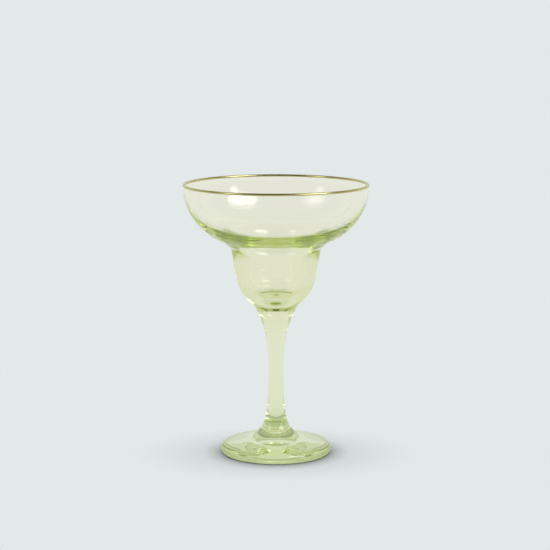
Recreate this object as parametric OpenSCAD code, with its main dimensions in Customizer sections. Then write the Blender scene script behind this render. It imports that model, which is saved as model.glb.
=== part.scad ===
// Margarita glass of pale green glass with a gilded rim.
// Three glass pieces are fused end to end at flat seams: a pressed foot, a solid stem and a hollow bowl.
// The bowl is a small deep cup that opens through a step into a wide shallow coupe.
// Its wall is thick round the cup, whose cavity ends in a small round bottom, and thins towards the lip.
// A thin film of gold is fired over the rounded bead of the lip.
// Lengths are in millimetres. A lean is in degrees from the upright axis. The glass stands on z = 0.
// A pull is the share of a curve's chord over which the curve holds the lean at that end.

/* [Rim] */
// Outside diameter across the gilded rim
rim_d = 114; // [104:0.5:124]
// Thickness of the rounded bead around the lip
bead_d = 1.6; // [1.5:0.1:2.4]
// Thickness of the wall just below the bead
lip_wall = 1.2; // [0.9:0.1:1.4]
// Thickness of the gold film over the bead
gold_film = 0.12; // [0.1:0.01:0.3]

/* [Coupe] */
// Height of the coupe from its shoulder to the bead
coupe_h = 33.3; // [28:0.1:40]
// Outside diameter at the shoulder, where the coupe turns out of the step
shoulder_d = 69.1; // [64:0.1:76]
// Lean of the wall at the shoulder
shoulder_lean = 66.7; // [60:0.1:72]
// Thickness of the wall at the shoulder
shoulder_wall = 3.9; // [2.8:0.1:5]
// How quickly the wall thins above the shoulder: 1 is evenly, more is sooner
coupe_thinning = 2.2; // [1:0.1:3]
// Pull of the coupe's curve at the shoulder
coupe_turn = 0.28; // [0.2:0.01:0.4]
// Pull of the coupe's curve at the rim
coupe_rise = 0.44; // [0.35:0.01:0.6]

/* [Step] */
// Height of the step from the neck to the shoulder
step_h = 7.7; // [6:0.1:11]
// Pull of the step's curve at the neck
step_turn = 0.36; // [0.2:0.01:0.5]
// Pull of the step's curve at the shoulder
step_flare = 0.17; // [0.1:0.01:0.4]

/* [Cup] */
// Height of the cup from its seam on the stem to the neck
cup_h = 32.9; // [28:0.1:40]
// Outside diameter of the neck, at the top of the cup
neck_d = 54.2; // [50:0.1:60]
// Lean of the wall at the neck
neck_lean = 8.6; // [4:0.1:14]
// Lean of the outside where the cup leaves its seam
cup_lean = 49; // [42:1:56]
// Pull of the cup's outside at the seam
cup_belly = 0.35; // [0.25:0.01:0.45]
// Pull of the cup's outside at the neck
cup_rise = 0.59; // [0.4:0.01:0.65]

/* [Cavity] */
// Height of the cavity's lowest point above the seam
tip_h = 4.2; // [3:0.1:5.5]
// Pull of the cavity's outline at its lowest point
tip_pull = 0.53; // [0.35:0.01:0.6]
// Share of the cup's outside at which the thick low wall is measured
low_at = 0.114; // [0.08:0.002:0.15]
// Thickness of the low wall, just above the solid bottom
low_wall = 8.5; // [6:0.1:9.5]
// Lean of the cavity at the low wall
low_lean = 43; // [38:1:50]
// Share of the cup's outside at which the belly's wall is measured
belly_at = 0.54; // [0.48:0.01:0.62]
// Thickness of the wall at the belly
belly_wall = 7; // [4:0.1:8]
// Lean of the cavity at the belly
belly_lean = 23.2; // [14:0.1:28]
// Thickness of the wall at the neck
neck_wall = 7.1; // [4.5:0.1:8]
// Drop of the cavity's neck below the neck on the outside
neck_drop = 1.9; // [0:0.1:4]
// Lean of the cavity at its neck
mouth_lean = 21.9; // [10:0.1:26]
// Pull of the cavity's outline at the low wall
low_pull = 0.33; // [0.25:0.01:0.4]
// Pull of the cavity's outline at the belly
belly_pull = 0.33; // [0.25:0.01:0.45]
// Pull of the cavity's outline below its neck
mouth_rise = 0.52; // [0.4:0.01:0.6]
// Pull of the cavity's outline above its neck
mouth_turn = 0.57; // [0.4:0.01:0.65]
// Pull of the cavity's outline at the shoulder
mouth_flare = 0.28; // [0.1:0.01:0.4]

/* [Stem] */
// Height of the stem between its two seams
stem_h = 77.7; // [60:0.1:100]
// Diameter of the seam between stem and bowl
seam_d = 26.8; // [23:0.2:30]
// Lean of the stem where it reaches the bowl
stem_top_lean = 29.5; // [15:0.5:35]
// Pull of the stem's curve at the bowl
stem_top_pull = 0.135; // [0.05:0.005:0.25]
// Diameter of the waist, the thinnest part of the stem
waist_d = 9.1; // [7.5:0.1:13]
// Height of the waist above the foot's seam
waist_h = 34; // [26:1:45]
// Pull of the stem's curve above the waist
waist_up = 0.65; // [0.4:0.01:0.75]
// Pull of the stem's curve below the waist
waist_down = 0.58; // [0.4:0.01:0.7]
// Lean of the stem where it spreads onto the foot
stem_low_lean = 53; // [40:1:60]
// Pull of the stem's curve at the foot
stem_low_pull = 0.133; // [0.05:0.001:0.2]

/* [Foot] */
// Height of the foot from the table to its seam on the stem
foot_h = 14.9; // [13:0.1:18]
// Outside diameter of the foot
foot_d = 68.5; // [60:0.5:78]
// Height of the foot's widest line above the table
edge_h = 2.8; // [2:0.1:3.5]
// Radius of the rounding above the widest line
edge_round = 3.8; // [3:0.1:4.5]
// Width of the rounding below the widest line
base_round = 3; // [2:0.1:4]
// Width of the flat ring that the glass stands on
ring_w = 3; // [2:0.1:6]
// Depth of the shallow hollow inside the ring
hollow_h = 0.3; // [0.2:0.1:1.2]
// Diameter of the polished dimple in the middle of the underside
dimple_d = 20; // [16:0.5:26]
// Depth of that dimple
dimple_h = 2.5; // [1:0.1:4]
// Slope of the foot's top, in degrees from level
dome_slope = 8.8; // [5:0.2:11]
// Diameter at which the top of the foot turns up to the stem
flare_d = 42; // [36:0.5:48]
// Pull of that turn at the top of the foot
flare_turn = 0.42; // [0.3:0.01:0.5]
// Diameter of the seam between foot and stem
collar_d = 20; // [17:0.2:24]
// Lean of the foot's side below that seam
collar_lean = 46.6; // [38:0.1:56]
// Pull of the turn at that seam
collar_turn = 0.35; // [0.25:0.01:0.45]

/* [Hidden] */

glass_green = "#C4D68C";
gold_lustre = "#B5A66C";
glass_clearness = 0.6;
// Straight pieces in each curved stretch of an outline, and facets around the axis
curve_steps = 18;
round_steps = 144;
// Half of the share over which the lean of an outside wall is taken
lean_step = 0.01;

// Heights of the seams and stations above the table
collar_z = foot_h;
seam_z = collar_z + stem_h;
neck_z = seam_z + cup_h;
shoulder_z = neck_z + step_h;
rim_z = shoulder_z + coupe_h;

// Unit step along a wall of the given lean
function along(lean) = [sin(lean), cos(lean)];

// Point at the given depth inside a wall of the given lean
function inside(point, lean, depth) = point + depth * [-cos(lean), sin(lean)];

// Point at share t of a smooth stretch from one point and lean to another
function on_stretch(t, from, from_lean, from_pull, to, to_lean, to_pull) =
    let (chord = norm(to - from))
    let (near = from + from_pull * chord * along(from_lean))
    let (far = to - to_pull * chord * along(to_lean))
    let (u = 1 - t)
    u ^ 3 * from + 3 * u ^ 2 * t * near + 3 * u * t ^ 2 * far + t ^ 3 * to;

// Points of such a stretch, without its first one
function stretch(from, from_lean, from_pull, to, to_lean, to_pull) =
    [for (i = [1 : curve_steps])
        on_stretch(i / curve_steps, from, from_lean, from_pull, to, to_lean, to_pull)];

// Arc about a centre, with its own reach across and up
function arc(centre, across, up, start, end) =
    [for (i = [0 : curve_steps])
        let (angle = start + (end - start) * i / curve_steps)
        centre + [across * cos(angle), up * sin(angle)]];

// The same points in the other order
function reversed(points) = [for (i = [len(points) - 1 : -1 : 0]) points[i]];

// The bead sits on the wall, which meets it on both sides below its middle
bead_r = bead_d / 2;
bead_dip = acos(lip_wall / bead_d);
bead_centre = [rim_d / 2 - gold_film - bead_r, rim_z + bead_r * sin(bead_dip)];

// Stations down the outside of the bowl, and the same stations on the inside
rim_out = [bead_centre.x + lip_wall / 2, rim_z];
shoulder_out = [shoulder_d / 2, shoulder_z];
neck_out = [neck_d / 2, neck_z];
neck_in = inside(neck_out, neck_lean, neck_wall) - [0, neck_drop];
seam_edge = [seam_d / 2, seam_z];
cavity_tip = [0, seam_z + tip_h];

// Outside of the cup at share t, and the cavity's wall at a given depth behind it
function cup_side(t) = on_stretch(t, seam_edge, cup_lean, cup_belly, neck_out, neck_lean, cup_rise);
function cup_wall(t, depth) =
    let (run = cup_side(t + lean_step) - cup_side(t - lean_step))
    inside(cup_side(t), atan2(run.x, run.y), depth);
low_in = cup_wall(low_at, low_wall);
belly_in = cup_wall(belly_at, belly_wall);

// Outside of the coupe at share t, its wall at a given depth behind it, and the thinning inside
function coupe_side(t) = on_stretch(t, shoulder_out, shoulder_lean, coupe_turn, rim_out, 0, coupe_rise);
function coupe_wall(t, depth) =
    let (run = coupe_side(t + lean_step) - coupe_side(t - lean_step))
    inside(coupe_side(t), atan2(run.x, run.y), depth);
function coupe_depth(t) = lip_wall + (shoulder_wall - lip_wall) * (1 - t) ^ coupe_thinning;
coupe_inside = [for (i = [1 : curve_steps]) coupe_wall(i / curve_steps, coupe_depth(i / curve_steps))];
shoulder_in = coupe_wall(0, shoulder_wall);
shoulder_run = coupe_inside[0] - shoulder_in;
shoulder_in_lean = atan2(shoulder_run.x, shoulder_run.y);

bowl_outside = concat(
    [seam_edge],
    stretch(seam_edge, cup_lean, cup_belly, neck_out, neck_lean, cup_rise),
    stretch(neck_out, neck_lean, step_turn, shoulder_out, shoulder_lean, step_flare),
    stretch(shoulder_out, shoulder_lean, coupe_turn, rim_out, 0, coupe_rise)
);
bowl_inside = concat(
    [cavity_tip],
    stretch(cavity_tip, 90, tip_pull, low_in, low_lean, low_pull),
    stretch(low_in, low_lean, low_pull, belly_in, belly_lean, belly_pull),
    stretch(belly_in, belly_lean, belly_pull, neck_in, mouth_lean, mouth_rise),
    stretch(neck_in, mouth_lean, mouth_turn, shoulder_in, shoulder_in_lean, mouth_flare),
    coupe_inside
);
lip_bead = arc(bead_centre, bead_r, bead_r, -bead_dip, 180 + bead_dip);
lip_top = [for (i = [1 : curve_steps - 1]) lip_bead[i]];

// Stations on the stem
waist_edge = [waist_d / 2, collar_z + waist_h];
collar_edge = [collar_d / 2, collar_z];

stem_side = concat(
    [collar_edge],
    stretch(collar_edge, -stem_low_lean, stem_low_pull, waist_edge, 0, waist_down),
    stretch(waist_edge, 0, waist_up, seam_edge, stem_top_lean, stem_top_pull)
);

// Stations on the foot, from the flat ring outwards and up to the seam
foot_r = foot_d / 2;
ring_out_r = foot_r - base_round;
ring_in_r = ring_out_r - ring_w;
dome_r = foot_r - edge_round * (1 - sin(dome_slope));
dome_z = edge_h + edge_round * cos(dome_slope);
flare_r = flare_d / 2;
flare_edge = [flare_r, dome_z + (dome_r - flare_r) * tan(dome_slope)];

// The hollow and the dimple in it are caps of balls, whose middles lie below the table
function ball_r(edge_r, rise) = (edge_r ^ 2 + rise ^ 2) / (2 * rise);
function cap(top_z, r, from_r, to_r) = arc([0, top_z - r], r, r, 90 - asin(from_r / r), 90 - asin(to_r / r));
dimple_r = dimple_d / 2;
hollow_ball_r = ball_r(ring_in_r, hollow_h);
dimple_ball_r = ball_r(dimple_r, dimple_h);
hollow_side = cap(hollow_h, hollow_ball_r, dimple_r, ring_in_r);
dimple_side = cap(hollow_side[0].y + dimple_h, dimple_ball_r, 0, dimple_r);

foot_under = concat(dimple_side, [for (i = [1 : curve_steps]) hollow_side[i]]);
foot_base_edge = arc([ring_out_r, edge_h], base_round, edge_h, -90, 0);
foot_top_edge = arc([foot_r - edge_round, edge_h], edge_round, edge_round, 0, 90 - dome_slope);
foot_flare = reversed(concat(
    [collar_edge],
    stretch(collar_edge, 180 - collar_lean, collar_turn, flare_edge, 90 + dome_slope, flare_turn)
));

// Solid turned from half of its outline about the upright axis
module turned(outline) {
    rotate_extrude($fn = round_steps) polygon(outline);
}

// Thick hollow bowl: outside up to the bead, over it, and back down the inside to the cavity's lowest point
module bowl() {
    color(glass_green, glass_clearness)
        turned(concat([[0, seam_z]], bowl_outside, lip_top, reversed(bowl_inside)));
}

// Solid stem with a waist, flat at both seams
module stem() {
    color(glass_green, glass_clearness)
        turned(concat([[0, collar_z]], stem_side, [[0, seam_z]]));
}

// Pressed foot with a domed top, a flat ring to stand on, and a shallow hollow with a dimple inside the ring
module foot() {
    color(glass_green, glass_clearness)
        turned(concat(
            foot_under,
            foot_base_edge,
            [for (i = [1 : curve_steps]) foot_top_edge[i]],
            foot_flare,
            [[0, collar_z]]
        ));
}

// Gold film over the bead, with both of its edges where the bead meets the wall
module gold_rim() {
    film_r = bead_r + gold_film;
    film_outside = arc(bead_centre, film_r, film_r, -bead_dip, 180 + bead_dip);
    color(gold_lustre)
        turned(concat(film_outside, reversed(lip_bead)));
}

gold_rim();
bowl();
stem();
foot();
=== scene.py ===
# %% [markdown]
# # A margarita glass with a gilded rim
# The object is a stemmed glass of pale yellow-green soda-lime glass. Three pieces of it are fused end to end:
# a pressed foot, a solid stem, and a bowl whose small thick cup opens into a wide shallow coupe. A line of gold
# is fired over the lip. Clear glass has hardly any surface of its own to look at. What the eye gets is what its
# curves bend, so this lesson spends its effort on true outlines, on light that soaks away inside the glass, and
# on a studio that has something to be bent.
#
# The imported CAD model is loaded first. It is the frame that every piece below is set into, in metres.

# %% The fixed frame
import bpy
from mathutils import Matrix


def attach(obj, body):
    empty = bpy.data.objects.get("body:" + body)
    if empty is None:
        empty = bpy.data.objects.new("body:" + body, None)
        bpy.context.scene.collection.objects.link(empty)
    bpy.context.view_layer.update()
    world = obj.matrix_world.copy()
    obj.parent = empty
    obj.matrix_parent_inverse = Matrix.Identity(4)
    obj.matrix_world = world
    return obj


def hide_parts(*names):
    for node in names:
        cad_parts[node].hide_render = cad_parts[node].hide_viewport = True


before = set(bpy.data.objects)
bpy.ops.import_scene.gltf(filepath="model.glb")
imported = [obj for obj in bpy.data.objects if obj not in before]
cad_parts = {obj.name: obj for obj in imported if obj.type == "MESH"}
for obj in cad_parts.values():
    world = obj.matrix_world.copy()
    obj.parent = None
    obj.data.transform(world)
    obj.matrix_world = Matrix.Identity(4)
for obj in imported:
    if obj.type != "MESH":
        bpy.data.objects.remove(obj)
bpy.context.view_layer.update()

# %% [markdown]
# ## The camera
# The glass stands upright in the middle of the picture and is seen from a little above, so the rim shows as a
# flat oval. How flat the rim and the foot are gives the height of the camera, and how much flatter the rim is
# than the foot gives its distance. A long lens from about a metre away agrees with both.

# %% Camera at the photograph's angle
import math
import bpy

scene = bpy.context.scene
picture_side = 550
focal_pixels = 1863.8
look_down = 8.88
camera_data = bpy.data.cameras.new("camera")
camera_data.sensor_width = 36
camera_data.lens = focal_pixels / picture_side * camera_data.sensor_width
camera = bpy.data.objects.new("camera", camera_data)
camera.location = (-0.0006, -1.1324, 0.2883)
camera.rotation_euler = (math.radians(90 - look_down), 0, 0)
scene.collection.objects.link(camera)
scene.camera = camera
print("lens", round(camera_data.lens, 1), "mm, looking", look_down, "degrees down")

# %% [markdown]
# ## Drawing a glass wall
# A glass like this is drawn as half of a section: how far the wall is from the axis at each height. A wall runs
# from station to station. At each station it has a lean, the angle from upright in degrees, and a pull, which
# says for how much of the run the wall keeps to that lean. A cubic curve through these gives the smooth run that
# hot glass takes. Straight pieces with rounded corners would be easier, and would show as kinks in everything
# that the glass bends. Two more helpers give round edges, and the point at some depth inside a wall.

# %% Outline helpers, in millimetres
import numpy as np

curve_steps = 40


def along(lean):
    angle = math.radians(lean)
    return np.array([math.sin(angle), math.cos(angle)])


def inside(point, lean, depth):
    angle = math.radians(lean)
    return point + depth * np.array([-math.cos(angle), math.sin(angle)])


def on_wall(share, start, start_lean, start_pull, end, end_lean, end_pull):
    chord = np.linalg.norm(end - start)
    near = start + start_pull * chord * along(start_lean)
    far = end - end_pull * chord * along(end_lean)
    rest = 1 - share
    return rest**3 * start + 3 * rest**2 * share * near + 3 * rest * share**2 * far + share**3 * end


def wall(*run):
    return [on_wall(step / curve_steps, *run) for step in range(1, curve_steps + 1)]


def rounded(centre, across, up, start, end, steps=curve_steps):
    angles = np.radians(np.linspace(start, end, steps + 1))
    return [np.array(centre) + [across * math.cos(a), up * math.sin(a)] for a in angles]


print("each run of wall is drawn in", curve_steps, "steps")

# %% [markdown]
# ## The outside of the bowl
# The outside goes up from the seam on the stem: a round cup, a short step, then the coupe out to the lip. The lip
# is melted into a small round bead, so that nobody drinks from a sharp edge. The bead is a little thicker than
# the wall below it, and the gold will lie on it.

# %% Outside of the bowl
seam_z, neck_z, shoulder_z, rim_z = 92.6, 125.5, 133.2, 166.5
seam_edge = np.array([13.4, seam_z])
neck_out = np.array([27.1, neck_z])
shoulder_out = np.array([34.55, shoulder_z])
cup_lean, neck_lean, shoulder_lean = 49, 8.6, 66.7

rim_r, bead_r, lip_wall, gold_film = 57.0, 0.8, 1.2, 0.12
bead_dip = math.degrees(math.acos(lip_wall / 2 / bead_r))
bead_centre = np.array([rim_r - gold_film - bead_r, rim_z + bead_r * math.sin(math.radians(bead_dip))])
rim_out = np.array([bead_centre[0] + lip_wall / 2, rim_z])

cup_run = (seam_edge, cup_lean, 0.35, neck_out, neck_lean, 0.59)
step_run = (neck_out, neck_lean, 0.36, shoulder_out, shoulder_lean, 0.17)
coupe_run = (shoulder_out, shoulder_lean, 0.28, rim_out, 0, 0.44)
bowl_outside = [seam_edge] + wall(*cup_run) + wall(*step_run) + wall(*coupe_run)
lip_bead = rounded(bead_centre, bead_r, bead_r, -bead_dip, 180 + bead_dip)
print("bowl from", seam_z, "to", round(bead_centre[1] + bead_r, 2), "mm up,", 2 * rim_r, "mm over the gold")

# %% [markdown]
# ## The inside of the bowl
# The inside doesn't follow the outside. The cup's wall is seven to nine millimetres thick, and its cavity ends in
# a small round bottom. That makes the pale shape in the bottom of the cup, and the green band at the neck, where
# light has travelled far through glass. The coupe's wall thins steadily from the shoulder to about a millimetre
# at the lip. So the inside is drawn from points at a known depth behind the outside, joined by runs of its own.

# %% Inside of the bowl
def behind(share, depth, *run):
    step = on_wall(share + 0.01, *run) - on_wall(share - 0.01, *run)
    return inside(on_wall(share, *run), math.degrees(math.atan2(step[0], step[1])), depth)


cavity_tip = np.array([0, seam_z + 4.2])
low_in = behind(0.114, 8.5, *cup_run)
belly_in = behind(0.54, 7.0, *cup_run)
neck_in = inside(neck_out, neck_lean, 7.1) - [0, 1.9]
level, low_lean, belly_lean, neck_in_lean = 90, 43, 23.2, 21.9

shoulder_wall, thinning = 3.9, 2.2
coupe_inside = []
for step in range(curve_steps + 1):
    share = step / curve_steps
    depth = lip_wall + (shoulder_wall - lip_wall) * (1 - share) ** thinning
    coupe_inside.append(behind(share, depth, *coupe_run))
shoulder_in = coupe_inside[0]
first_step = coupe_inside[1] - shoulder_in
shoulder_in_lean = math.degrees(math.atan2(first_step[0], first_step[1]))

bowl_inside = (
    [cavity_tip]
    + wall(cavity_tip, level, 0.53, low_in, low_lean, 0.33)
    + wall(low_in, low_lean, 0.33, belly_in, belly_lean, 0.33)
    + wall(belly_in, belly_lean, 0.33, neck_in, neck_in_lean, 0.52)
    + wall(neck_in, neck_in_lean, 0.57, shoulder_in, shoulder_in_lean, 0.28)
    + coupe_inside[1:]
)
bowl_section = bowl_outside + lip_bead[1:-1] + bowl_inside[::-1]
print("cup wall", round(np.linalg.norm(neck_out - neck_in), 1), "mm at the neck,", lip_wall, "mm at the lip")

# %% [markdown]
# ## The stem's section
# The stem is solid. It is drawn out hot between the bowl and the foot, so it narrows from the bowl to a waist and
# spreads again where it lands on the foot. Two runs that meet upright at the waist are enough for that.

# %% Outline of the stem
collar_z = 14.9
collar_edge = np.array([10.0, collar_z])
waist_edge = np.array([4.55, collar_z + 34])
collar_lean, top_lean = -53, 29.5
stem_section = (
    [collar_edge]
    + wall(collar_edge, collar_lean, 0.133, waist_edge, 0, 0.58)
    + wall(waist_edge, 0, 0.65, seam_edge, top_lean, 0.135)
)
print("stem", 2 * waist_edge[0], "mm at the waist")

# %% [markdown]
# ## The foot's section
# The foot is pressed: a low dome with a rounded edge, and an underside that is almost flat, with a ring to stand
# on and a shallow polished dimple in the middle. Seen through the dome, that flat underside is what draws the
# pale path and the two green lobes on the foot. The hollow and the dimple are parts of large balls, so one helper
# makes both.

# %% Outline of the foot
foot_r, edge_z, edge_round, base_round, ring_w = 34.25, 2.8, 3.8, 3.0, 3.0
ring_out_r = foot_r - base_round
ring_in_r = ring_out_r - ring_w
hollow_rise, dimple_r, dimple_rise = 0.3, 10.0, 2.5
dome_slope, flare_r, flare_lean = 8.8, 21.0, 180 - 46.6


def ball_cap(edge_r, rise, edge_height, from_r, to_r):
    ball_r = (edge_r**2 + rise**2) / (2 * rise)
    middle = [0, edge_height + rise - ball_r]
    reach = [90 - math.degrees(math.asin(r / ball_r)) for r in (from_r, to_r)]
    return rounded(middle, ball_r, ball_r, *reach)


hollow = ball_cap(ring_in_r, hollow_rise, 0, dimple_r, ring_in_r)
dimple = ball_cap(dimple_r, dimple_rise, hollow[0][1], 0, dimple_r)
base_edge = rounded([ring_out_r, edge_z], base_round, edge_z, -90, 0)
top_edge = rounded([foot_r - edge_round, edge_z], edge_round, edge_round, 0, 90 - dome_slope)
dome_r, dome_z = top_edge[-1]
flare_edge = np.array([flare_r, dome_z + (dome_r - flare_r) * math.tan(math.radians(dome_slope))])
flare = wall(collar_edge, flare_lean, 0.35, flare_edge, 90 + dome_slope, 0.42)
foot_section = dimple + hollow[1:] + base_edge + top_edge[1:] + flare[::-1] + [collar_edge]
print("foot", 2 * foot_r, "mm across, standing on a ring", ring_w, "mm wide")

# %% [markdown]
# ## Turning the sections
# A section becomes a piece by turning it about the upright axis, which is what a mould or a lathe does. A Screw
# modifier would do it too. Here the rings of points are written out, because the points on the axis can then be
# shared, and the mesh comes out closed and clean. The last helper sets a finished piece into the frame.

# %% Helpers that turn a section and set a piece in the frame
round_steps = 256
sharp_edge = math.radians(35)
turns = [2 * math.pi * step / round_steps for step in range(round_steps)]


def around(r, z, turn):
    return (r / 1000 * math.cos(turn), r / 1000 * math.sin(turn), z / 1000)


def skin(name, points, faces):
    mesh = bpy.data.meshes.new(name)
    mesh.from_pydata(points, [], faces)
    mesh.shade_smooth()
    mesh.set_sharp_from_angle(angle=sharp_edge)
    return mesh


def turned(name, section):
    points, rings, faces = [], [], []
    for r, z in section:
        ring_turns = turns if r > 1e-9 else turns[:1]
        ring = list(range(len(points), len(points) + len(ring_turns)))
        points += [around(r, z, turn) for turn in ring_turns]
        rings.append(ring if len(ring) > 1 else ring * round_steps)
    for low, high in zip(rings, rings[1:]):
        for corners in zip(low, low[1:] + low[:1], high[1:] + high[:1], high):
            faces.append(list(dict.fromkeys(corners)))
    return skin(name, points, faces)


def set_in_frame(name, mesh):
    piece = bpy.data.objects.new(name, mesh)
    scene.collection.objects.link(piece)
    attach(piece, "root")
    return piece


print("a full turn takes", round_steps, "steps")

# %% [markdown]
# ## Three pieces, fused
# The real pieces are fused, so where two of them meet there is no surface at all. Each piece still has to be
# closed, or light couldn't tell when it is inside the glass. So the flat seam faces stay, a hair apart, and carry
# a refraction of one in a face attribute: light goes straight on through them, and the seam is unseen. Joining
# the three into one mesh would hide the seams too, but then each piece couldn't stand for its own CAD node.

# %% Bowl, stem and foot
hair = 0.02
glass_refraction, seam_refraction = 1.5, 1.0


def glass_piece(name, section, seams):
    mesh = turned(name, section)
    centres = np.empty(3 * len(mesh.polygons), np.float32)
    mesh.polygons.foreach_get("center", centres)
    heights = centres[2::3] * 1000
    on_seam = np.any([abs(heights - z) < 1e-3 for z in seams], axis=0)
    refraction = mesh.attributes.new("refraction", "FLOAT", "FACE")
    bend = np.where(on_seam, seam_refraction, glass_refraction)
    refraction.data.foreach_set("value", bend.astype(np.float32))
    piece = set_in_frame(name, mesh)
    return piece


def on_axis(z):
    return np.array([0, z])


stem_low, stem_high = collar_z + hair, seam_z - hair
stem_ends = ([collar_edge[0], stem_low], [seam_edge[0], stem_high])
stem_closed = [on_axis(stem_low), stem_ends[0]] + stem_section[1:-1] + [stem_ends[1], on_axis(stem_high)]

bowl_glass = glass_piece("bowl_glass", [on_axis(seam_z)] + bowl_section, [seam_z])
stem_glass = glass_piece("stem_glass", stem_closed, [stem_low, stem_high])
foot_glass = glass_piece("foot_glass", foot_section + [on_axis(collar_z)], [collar_z])
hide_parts("bowl")
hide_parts("stem")
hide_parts("foot")
for piece in (bowl_glass, stem_glass, foot_glass):
    print(piece.name, len(piece.data.vertices), "points")

# %% [markdown]
# ## Pale green soda-lime glass
# Everyday drinking glass is soda-lime glass. A little iron and chromium in the melt swallows blue and some red,
# so thin walls look almost clear and thick ones yellow-green. A green base colour would tint thin and thick alike.
# So the colour is an absorption inside the glass, which grows with the distance that light travels, and the
# surface itself stays clear and smooth. The mould leaves faint waves in a pressed surface, which fire polishing
# softens and never quite removes. They are about as wide as a fingertip and lower than a hair is thick.

# %% Soda-lime glass material
def linear(colour):
    parts = [int(colour[i:i + 2], 16) / 255 for i in (1, 3, 5)]
    return [p / 12.92 if p <= 0.04045 else ((p + 0.055) / 1.055) ** 2.4 for p in parts] + [1]


def add_node(tree, kind, settings=None, sockets=None, links=None):
    node = tree.nodes.new(kind)
    for key, value in (settings or {}).items():
        setattr(node, key, value)
    for key, value in (sockets or {}).items():
        node.inputs[key].default_value = value
    for key, output in (links or {}).items():
        tree.links.new(output, node.inputs[key])
    return node


wave_width_mm, wave_height_mm = 9.0, 0.02


# Fire-polished glass gives the eye no texture: bent light, sharp small highlights and a colour that deepens
def soda_lime_glass(name, depth_colour, density):
    material = bpy.data.materials.new(name)
    material.use_nodes = True
    tree = material.node_tree
    tree.nodes.clear()
    place = add_node(tree, "ShaderNodeTexCoord")
    ripple = add_node(
        tree, "ShaderNodeTexNoise", sockets={"Scale": 1000 / wave_width_mm, "Detail": 1.0},
        links={"Vector": place.outputs["Object"]},
    )
    waves = add_node(
        tree, "ShaderNodeBump", sockets={"Strength": 1.0, "Distance": wave_height_mm / 1000},
        links={"Height": ripple.outputs["Fac"]},
    )
    seam_or_wall = add_node(tree, "ShaderNodeAttribute", {"attribute_name": "refraction"})
    surface = add_node(
        tree, "ShaderNodeBsdfPrincipled", {"name": "polished_face"},
        sockets={"Base Color": linear("#FFFFFF"), "Transmission Weight": 1, "Roughness": 0},
        links={"Normal": waves.outputs["Normal"], "IOR": seam_or_wall.outputs["Fac"]},
    )
    tint = add_node(
        tree, "ShaderNodeVolumeAbsorption", sockets={"Color": linear(depth_colour), "Density": density}
    )
    add_node(
        tree, "ShaderNodeOutputMaterial",
        links={"Surface": surface.outputs["BSDF"], "Volume": tint.outputs["Volume"]},
    )
    return material


melt = ((bowl_glass, "#D0DD00", 16.5), (stem_glass, "#D0DD00", 13), (foot_glass, "#C8DA00", 10))
for piece, depth_colour, density in melt:
    piece.data.materials.append(soda_lime_glass("soda_lime_" + piece.name, depth_colour, density))
    print(piece.name, "absorbs", density, "per metre")

# %% [markdown]
# ## Green light in the stem
# A solid rod of glass guides light along itself. The stem takes green light up from the thick foot, and it fades
# towards the bowl, so the lower half of the stem looks a little greener than its thickness alone would make it.
# Tracing that light would need far more samples, so the stem's clear surface gets a faint green that fades with
# height.

# %% Tint that fades up the stem
guided_green, full_z, gone_z = "#F8FDEC", 45.0, seam_z
stem_tree = stem_glass.data.materials[0].node_tree
stem_place = add_node(stem_tree, "ShaderNodeTexCoord")
stem_axes = add_node(stem_tree, "ShaderNodeSeparateXYZ", links={"Vector": stem_place.outputs["Object"]})
stem_height = add_node(
    stem_tree, "ShaderNodeMapRange", sockets={"From Min": full_z / 1000, "From Max": gone_z / 1000},
    links={"Value": stem_axes.outputs["Z"]},
)
guided = add_node(
    stem_tree, "ShaderNodeMix", {"data_type": "RGBA"}, sockets={6: linear(guided_green), 7: linear("#FFFFFF")},
    links={0: stem_height.outputs["Result"]},
)
stem_tree.links.new(guided.outputs[2], stem_tree.nodes["polished_face"].inputs["Base Color"])
print("green fades out between", full_z, "and", gone_z, "mm")

# %% [markdown]
# ## The gilded rim
# Liquid gold is brushed over the bead of the lip and fired, which leaves a film far thinner than a hair. A film
# can't be that thin here, so it is a tenth of a millimetre. The brush doesn't stop at exactly the same height all
# the way round, so both edges of the film wander a little. A plain turned ring would have perfectly even edges,
# so this one is built ring by ring, each with its own start and end on the bead.

# %% Film of gold over the bead
film_steps = 24
clearance, edge_margin = 0.015, 6
outer_shift, inner_shift = 0.7, 2.1
# Each wander: degrees along the bead, waves in a full turn, share of the shift
wanders = ((3.0, 5, 1), (2.0, 13, 2), (1.2, 29, 0))


def brushed_edge(turn, shift):
    return sum(degrees * math.sin(waves * turn + part * shift) for degrees, waves, part in wanders)


def gilded_bead(name):
    points, faces = [], []
    count = 2 * (film_steps + 1)
    for turn in turns:
        start = -bead_dip + edge_margin + brushed_edge(turn, outer_shift)
        end = 180 + bead_dip - edge_margin + brushed_edge(turn, inner_shift)
        over = rounded(bead_centre, bead_r + gold_film, bead_r + gold_film, start, end, film_steps)
        under = rounded(bead_centre, bead_r + clearance, bead_r + clearance, end, start, film_steps)
        points += [around(r, z, turn) for r, z in over + under]
    for step in range(round_steps):
        here, there = step * count, (step + 1) % round_steps * count
        for k in range(count):
            j = (k + 1) % count
            faces.append((here + k, there + k, there + j, here + j))
    return skin(name, points, faces)


gold_line = set_in_frame("gold_line", gilded_bead("gold_line"))
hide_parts("gold_rim")
print("gold line", round(gold_line.dimensions.z * 1000, 2), "mm tall")

# %% [markdown]
# ## Fired gold lustre
# Bright gold for glass is a thin lustre and not solid metal. It fires to a pale, slightly green gold, mirror-like
# where it is thick and duller along the brush strokes. The strokes run round the rim, so the pattern that varies
# its colour and roughness is stretched the same way: narrow from edge to edge, long round the rim. One flat gold
# colour would look like a plastic ring.

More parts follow.
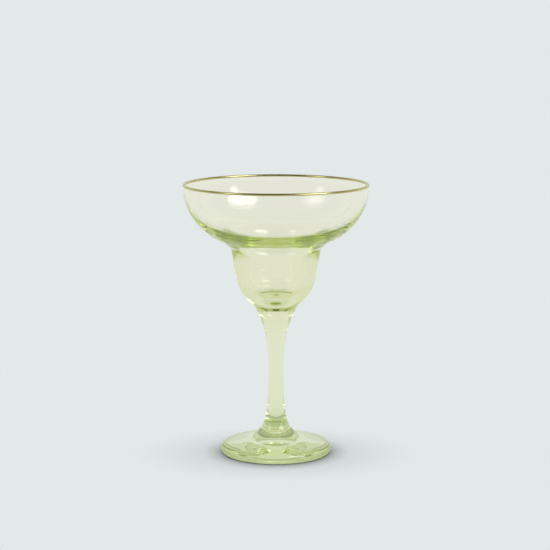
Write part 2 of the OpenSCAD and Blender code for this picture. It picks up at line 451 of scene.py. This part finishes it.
# %% Gold lustre material
# A brushed lustre gives the eye long soft streaks, bright towards the lamps and nearly black between them
stroke_width_mm, stroke_length_mm = 0.35, 9.0
thick_gold, thin_gold = "#B5AF78", "#D2CA94"
mirror_rough, stroke_rough = 0.14, 0.3
gold = bpy.data.materials.new("fired_gold_lustre")
gold.use_nodes = True
gold_tree = gold.node_tree
gold_tree.nodes.clear()
gold_place = add_node(gold_tree, "ShaderNodeTexCoord")
per_length, per_width = 1000 / stroke_length_mm, 1000 / stroke_width_mm
stretched = add_node(
    gold_tree, "ShaderNodeMapping", sockets={"Scale": (per_length, per_length, per_width)},
    links={"Vector": gold_place.outputs["Object"]},
)
strokes = add_node(
    gold_tree, "ShaderNodeTexNoise", sockets={"Scale": 1.0, "Detail": 3.0},
    links={"Vector": stretched.outputs["Vector"]},
)
gold_colour = add_node(gold_tree, "ShaderNodeValToRGB", links={"Fac": strokes.outputs["Fac"]})
for stop, place, colour in zip(gold_colour.color_ramp.elements, (0.3, 0.7), (thick_gold, thin_gold)):
    stop.position, stop.color = place, linear(colour)
gold_roughness = add_node(
    gold_tree, "ShaderNodeMapRange", sockets={"To Min": mirror_rough, "To Max": stroke_rough},
    links={"Value": strokes.outputs["Fac"]},
)
gold_surface = add_node(
    gold_tree, "ShaderNodeBsdfPrincipled", sockets={"Metallic": 1.0},
    links={"Base Color": gold_colour.outputs["Color"], "Roughness": gold_roughness.outputs["Result"]},
)
add_node(gold_tree, "ShaderNodeOutputMaterial", links={"Surface": gold_surface.outputs["BSDF"]})
gold_line.data.materials.append(gold)
print("gold line wears", gold.name)

# %% [markdown]
# ## A pale paper sweep
# The glass stands on pale matt paper that runs up behind it, so no edge of a table shows. A very large floor of one
# plain colour does the same. Near the glass the camera sees it as a matt surface, which keeps the soft shadow. Close
# to the foot a painted shadow makes the paper's colour a little darker, where a clear foot still takes light away.
# Further out it fades into an even panel of the same colour, so the background stays as flat as a lit sweep. A glass
# between two lamps has a shadow that is wider than it is deep, so the fade is an oval, set a little forward.

# %% Paper sweep as the camera sees it
panel_colour = linear("#E3E8E9")
# Painted shadow: the paper's colour is made darker close to the foot
painted_foot_shade = linear("#CBD2CE")
sweep_reach, hair_below = 60.0, -0.00001
foot_shade_from, foot_shade_to = 0.033, 0.048
shadow_from, shadow_to, shadow_squeeze, shadow_forward = 0.045, 0.095, 1.3, 0.004

floor_mesh = bpy.data.meshes.new("floor")
corners = [(-1, -1), (1, -1), (1, 1), (-1, 1)]
floor_mesh.from_pydata([(x * sweep_reach, y * sweep_reach, hair_below) for x, y in corners], [], [(0, 1, 2, 3)])
floor = bpy.data.objects.new("floor", floor_mesh)
scene.collection.objects.link(floor)

# Matt paper gives the eye an even tone and a shadow with no edge
paper_sheet = bpy.data.materials.new("matt_paper_sweep")
paper_sheet.use_nodes = True
paper_tree = paper_sheet.node_tree
paper_tree.nodes.clear()
spot = add_node(paper_tree, "ShaderNodeNewGeometry")
away = add_node(paper_tree, "ShaderNodeVectorMath", {"operation": "LENGTH"}, links={0: spot.outputs["Position"]})
clear_of_foot = add_node(
    paper_tree, "ShaderNodeMapRange", {"interpolation_type": "SMOOTHSTEP"},
    sockets={"From Min": foot_shade_from, "From Max": foot_shade_to}, links={"Value": away.outputs["Value"]},
)
# The paper's colour blends from the painted shadow at the foot out to the plain panel colour
paper_with_painted_shade = add_node(
    paper_tree, "ShaderNodeMix", {"data_type": "RGBA"}, sockets={6: painted_foot_shade, 7: panel_colour},
    links={0: clear_of_foot.outputs["Result"]},
)
paper = add_node(paper_tree, "ShaderNodeBsdfDiffuse", links={"Color": paper_with_painted_shade.outputs[2]})
even_panel = add_node(paper_tree, "ShaderNodeEmission", sockets={"Color": panel_colour})
oval = add_node(
    paper_tree, "ShaderNodeVectorMath", {"operation": "MULTIPLY_ADD"},
    sockets={1: (1, shadow_squeeze, 1), 2: (0, shadow_squeeze * shadow_forward, 0)},
    links={0: spot.outputs["Position"]},
)
oval_away = add_node(paper_tree, "ShaderNodeVectorMath", {"operation": "LENGTH"}, links={0: oval.outputs["Vector"]})
fade = add_node(
    paper_tree, "ShaderNodeMapRange", {"interpolation_type": "SMOOTHSTEP"},
    sockets={"From Min": shadow_from, "From Max": shadow_to}, links={"Value": oval_away.outputs["Value"]},
)
sweep = add_node(
    paper_tree, "ShaderNodeMixShader",
    links={0: fade.outputs["Result"], 1: paper.outputs["BSDF"], 2: even_panel.outputs["Emission"]},
)
floor_mesh.materials.append(paper_sheet)
print("shadow fades out between", shadow_from * 1000, "and", shadow_to * 1000, "mm from the axis")

# %% [markdown]
# ## The paper as the glass sees it
# Rays that come by way of the glass or the gold see the paper as a panel of light, as they would from a lit sheet.
# Under the foot that sheet isn't white: the light that gets there has come down through green glass, and it is
# darkest along the ring where the glass touches the paper. A colour ramp over the distance from the axis gives
# those rings. Caustics could find them too, with thousands of samples.

# %% Rings of light under the foot
lit_panel = linear("#E8E9DD")
stem_glow, foot_glow = linear("#ACB876"), linear("#BFCBAD")
contact_shade, near_shade = linear("#A2AC8B"), linear("#DADDD3")
rings_of_light = (
    (0.0140, foot_glow), (0.0280, foot_glow), (0.0315, contact_shade), (0.0340, contact_shade), (0.0365, near_shade),
)
ramp_reach, stem_reach, lit_reach = 0.1, 0.009, 0.060

path = add_node(paper_tree, "ShaderNodeLightPath")
by_glass = add_node(
    paper_tree, "ShaderNodeMath", {"operation": "MAXIMUM"},
    links={0: path.outputs["Is Transmission Ray"], 1: path.outputs["Is Glossy Ray"]},
)
ramp_share = add_node(
    paper_tree, "ShaderNodeMath", {"operation": "DIVIDE"}, sockets={1: ramp_reach},
    links={0: away.outputs["Value"]},
)
under_foot = add_node(paper_tree, "ShaderNodeValToRGB", links={"Fac": ramp_share.outputs["Value"]})
stops = under_foot.color_ramp.elements
stops[0].position, stops[0].color = stem_reach / ramp_reach, stem_glow
stops[-1].position, stops[-1].color = lit_reach / ramp_reach, lit_panel
for radius, colour in rings_of_light:
    stops.new(radius / ramp_reach).color = colour
lit_paper = add_node(paper_tree, "ShaderNodeEmission", links={"Color": under_foot.outputs["Color"]})
paper_look = add_node(
    paper_tree, "ShaderNodeMixShader",
    links={0: by_glass.outputs["Value"], 1: sweep.outputs["Shader"], 2: lit_paper.outputs["Emission"]},
)
add_node(paper_tree, "ShaderNodeOutputMaterial", links={"Surface": paper_look.outputs["Shader"]})
print("rings of light under the foot:", len(stops))

# %% [markdown]
# ## The room round the glass
# The room is an even white that fills the shadows. Glass and gold need more than that, because an even room leaves
# nothing to mirror. So mirrored rays see a lit panel low and behind the glass, which falls off to a dim room in
# front and above: that darkens the middle of the gold line, and keeps the glass from going milky. Rays that come
# through the glass see the lit panel all round, as they do from a white studio.

# %% Room, by kind of ray
dim_room = linear("#61615D")
height_share, dim_at, lit_at = -0.5, -0.45, 0.55
world = bpy.data.worlds.new("studio")
scene.world = world
world.use_nodes = True
room_tree = world.node_tree
room_tree.nodes.clear()
ray = add_node(room_tree, "ShaderNodeLightPath")
look = add_node(room_tree, "ShaderNodeTexCoord")
look_axes = add_node(room_tree, "ShaderNodeSeparateXYZ", links={"Vector": look.outputs["Generated"]})
low_and_behind = add_node(
    room_tree, "ShaderNodeMath", {"operation": "MULTIPLY_ADD"}, sockets={1: height_share},
    links={0: look_axes.outputs["Z"], 2: look_axes.outputs["Y"]},
)
panel_share = add_node(
    room_tree, "ShaderNodeMapRange", {"interpolation_type": "SMOOTHSTEP"},
    sockets={"From Min": dim_at, "From Max": lit_at}, links={"Value": low_and_behind.outputs["Value"]},
)
fill = add_node(room_tree, "ShaderNodeBackground", sockets={"Color": linear("#FFFFFF")})
lit = add_node(room_tree, "ShaderNodeBackground", sockets={"Color": lit_panel})
dim = add_node(room_tree, "ShaderNodeBackground", sockets={"Color": dim_room})
backdrop = add_node(room_tree, "ShaderNodeBackground", sockets={"Color": panel_colour})
mirrored_room = add_node(
    room_tree, "ShaderNodeMixShader",
    links={0: panel_share.outputs["Result"], 1: dim.outputs["Background"], 2: lit.outputs["Background"]},
)
seen = fill.outputs["Background"]
for kind, light in (
    ("Is Glossy Ray", mirrored_room.outputs["Shader"]),
    ("Is Transmission Ray", lit.outputs["Background"]),
    ("Is Camera Ray", backdrop.outputs["Background"]),
):
    choice = add_node(room_tree, "ShaderNodeMixShader", links={0: ray.outputs[kind], 1: seen, 2: light})
    seen = choice.outputs["Shader"]
add_node(room_tree, "ShaderNodeOutputWorld", links={"Surface": seen})
print("room:", world.name)

# %% [markdown]
# ## Soft boxes
# Two large soft boxes stand in front of the glass, to the left and to the right, with a smaller lamp below each.
# The large ones give the bright window shapes on the coupe and the light parts of the gold line, and the small ones
# the spots on the cup. Cloth over a real soft box is brightest in the middle, so each lamp fades towards its edge.
# The lamps don't light the paper here: it has the even light of the room, which leaves one soft shadow and not two.
# Thick glass bends a lamp into hard sparkles. So a lamp that is seen through the glass is a dimmer copy that
# stands just behind the one that is mirrored, which keeps the sparkles at the ends of the stem small.

# %% Lamps that fade towards their edges
from mathutils import Vector

aim = Vector((0, 0, 0.11))
stand_off = 1.6
copy_share, copy_back = 0.6, 1.05


def soft_box(name, width, height, brightness, soft_edge, side, lift, distance):
    lamp = bpy.data.lights.new(name, "AREA")
    lamp.shape = "ELLIPSE"
    lamp.size, lamp.size_y = width, height
    lamp.energy = brightness * math.pi * width * height * math.pi / 4
    lamp.use_nodes = True
    tree = lamp.node_tree
    tree.nodes.clear()
    spot = add_node(tree, "ShaderNodeNewGeometry")
    middle = add_node(
        tree, "ShaderNodeVectorMath", {"operation": "SUBTRACT"}, sockets={1: (0.5, 0.5, 0)},
        links={0: spot.outputs["Parametric"]},
    )
    off_middle = add_node(tree, "ShaderNodeVectorMath", {"operation": "LENGTH"}, links={0: middle.outputs["Vector"]})
    glow = add_node(
        tree, "ShaderNodeMapRange", {"interpolation_type": "SMOOTHSTEP"},
        sockets={"From Min": 0.5, "From Max": 0.5 - soft_edge}, links={"Value": off_middle.outputs["Value"]},
    )
    cloth = add_node(tree, "ShaderNodeEmission", links={"Strength": glow.outputs["Result"]})
    add_node(tree, "ShaderNodeOutputLight", links={"Surface": cloth.outputs["Emission"]})

    side, lift = math.radians(side), math.radians(lift)
    direction = Vector((math.sin(side) * math.cos(lift), -math.cos(side) * math.cos(lift), math.sin(lift)))
    stand = bpy.data.objects.new(name, lamp)
    stand.location = aim + direction * distance
    stand.rotation_euler = direction.to_track_quat("Z", "Y").to_euler()
    stand.visible_camera = False
    stand.visible_diffuse = False
    scene.collection.objects.link(stand)
    return stand


soft_boxes = (
    ("right_soft_box", 1.3, 1.1, 4.8, 0.16, 56, 41),
    ("right_low_lamp", 0.46, 0.62, 4.2, 0.4, 59, 19),
    ("left_soft_box", 1.1, 1.1, 3.3, 0.45, -64, 39),
    ("left_low_lamp", 0.5, 0.62, 2.3, 0.4, -62, 19),
)
for name, width, height, brightness, *place in soft_boxes:
    mirrored = soft_box(name, width, height, brightness, *place, stand_off)
    mirrored.visible_transmission = False
    grown = (width * copy_back, height * copy_back)
    bent = soft_box(name + "_through", *grown, brightness * copy_share, *place, stand_off * copy_back)
    bent.visible_glossy = False
    print(name, "at", place[1], "degrees to the side and", place[2], "up")

# %% [markdown]
# ## Finish
# Light bounces many times inside thick glass before it gets out, and a path that is cut short shows as black. So
# the bounce limits go up. Caustics through glass would only add noise to the paper, which already has its rings of
# light.

scene.view_settings.view_transform = "Standard"
most_bounces = 128
scene.cycles.max_bounces = most_bounces
scene.cycles.transmission_bounces = most_bounces
scene.cycles.glossy_bounces = most_bounces
scene.cycles.use_denoising = True
scene.cycles.caustics_refractive = False
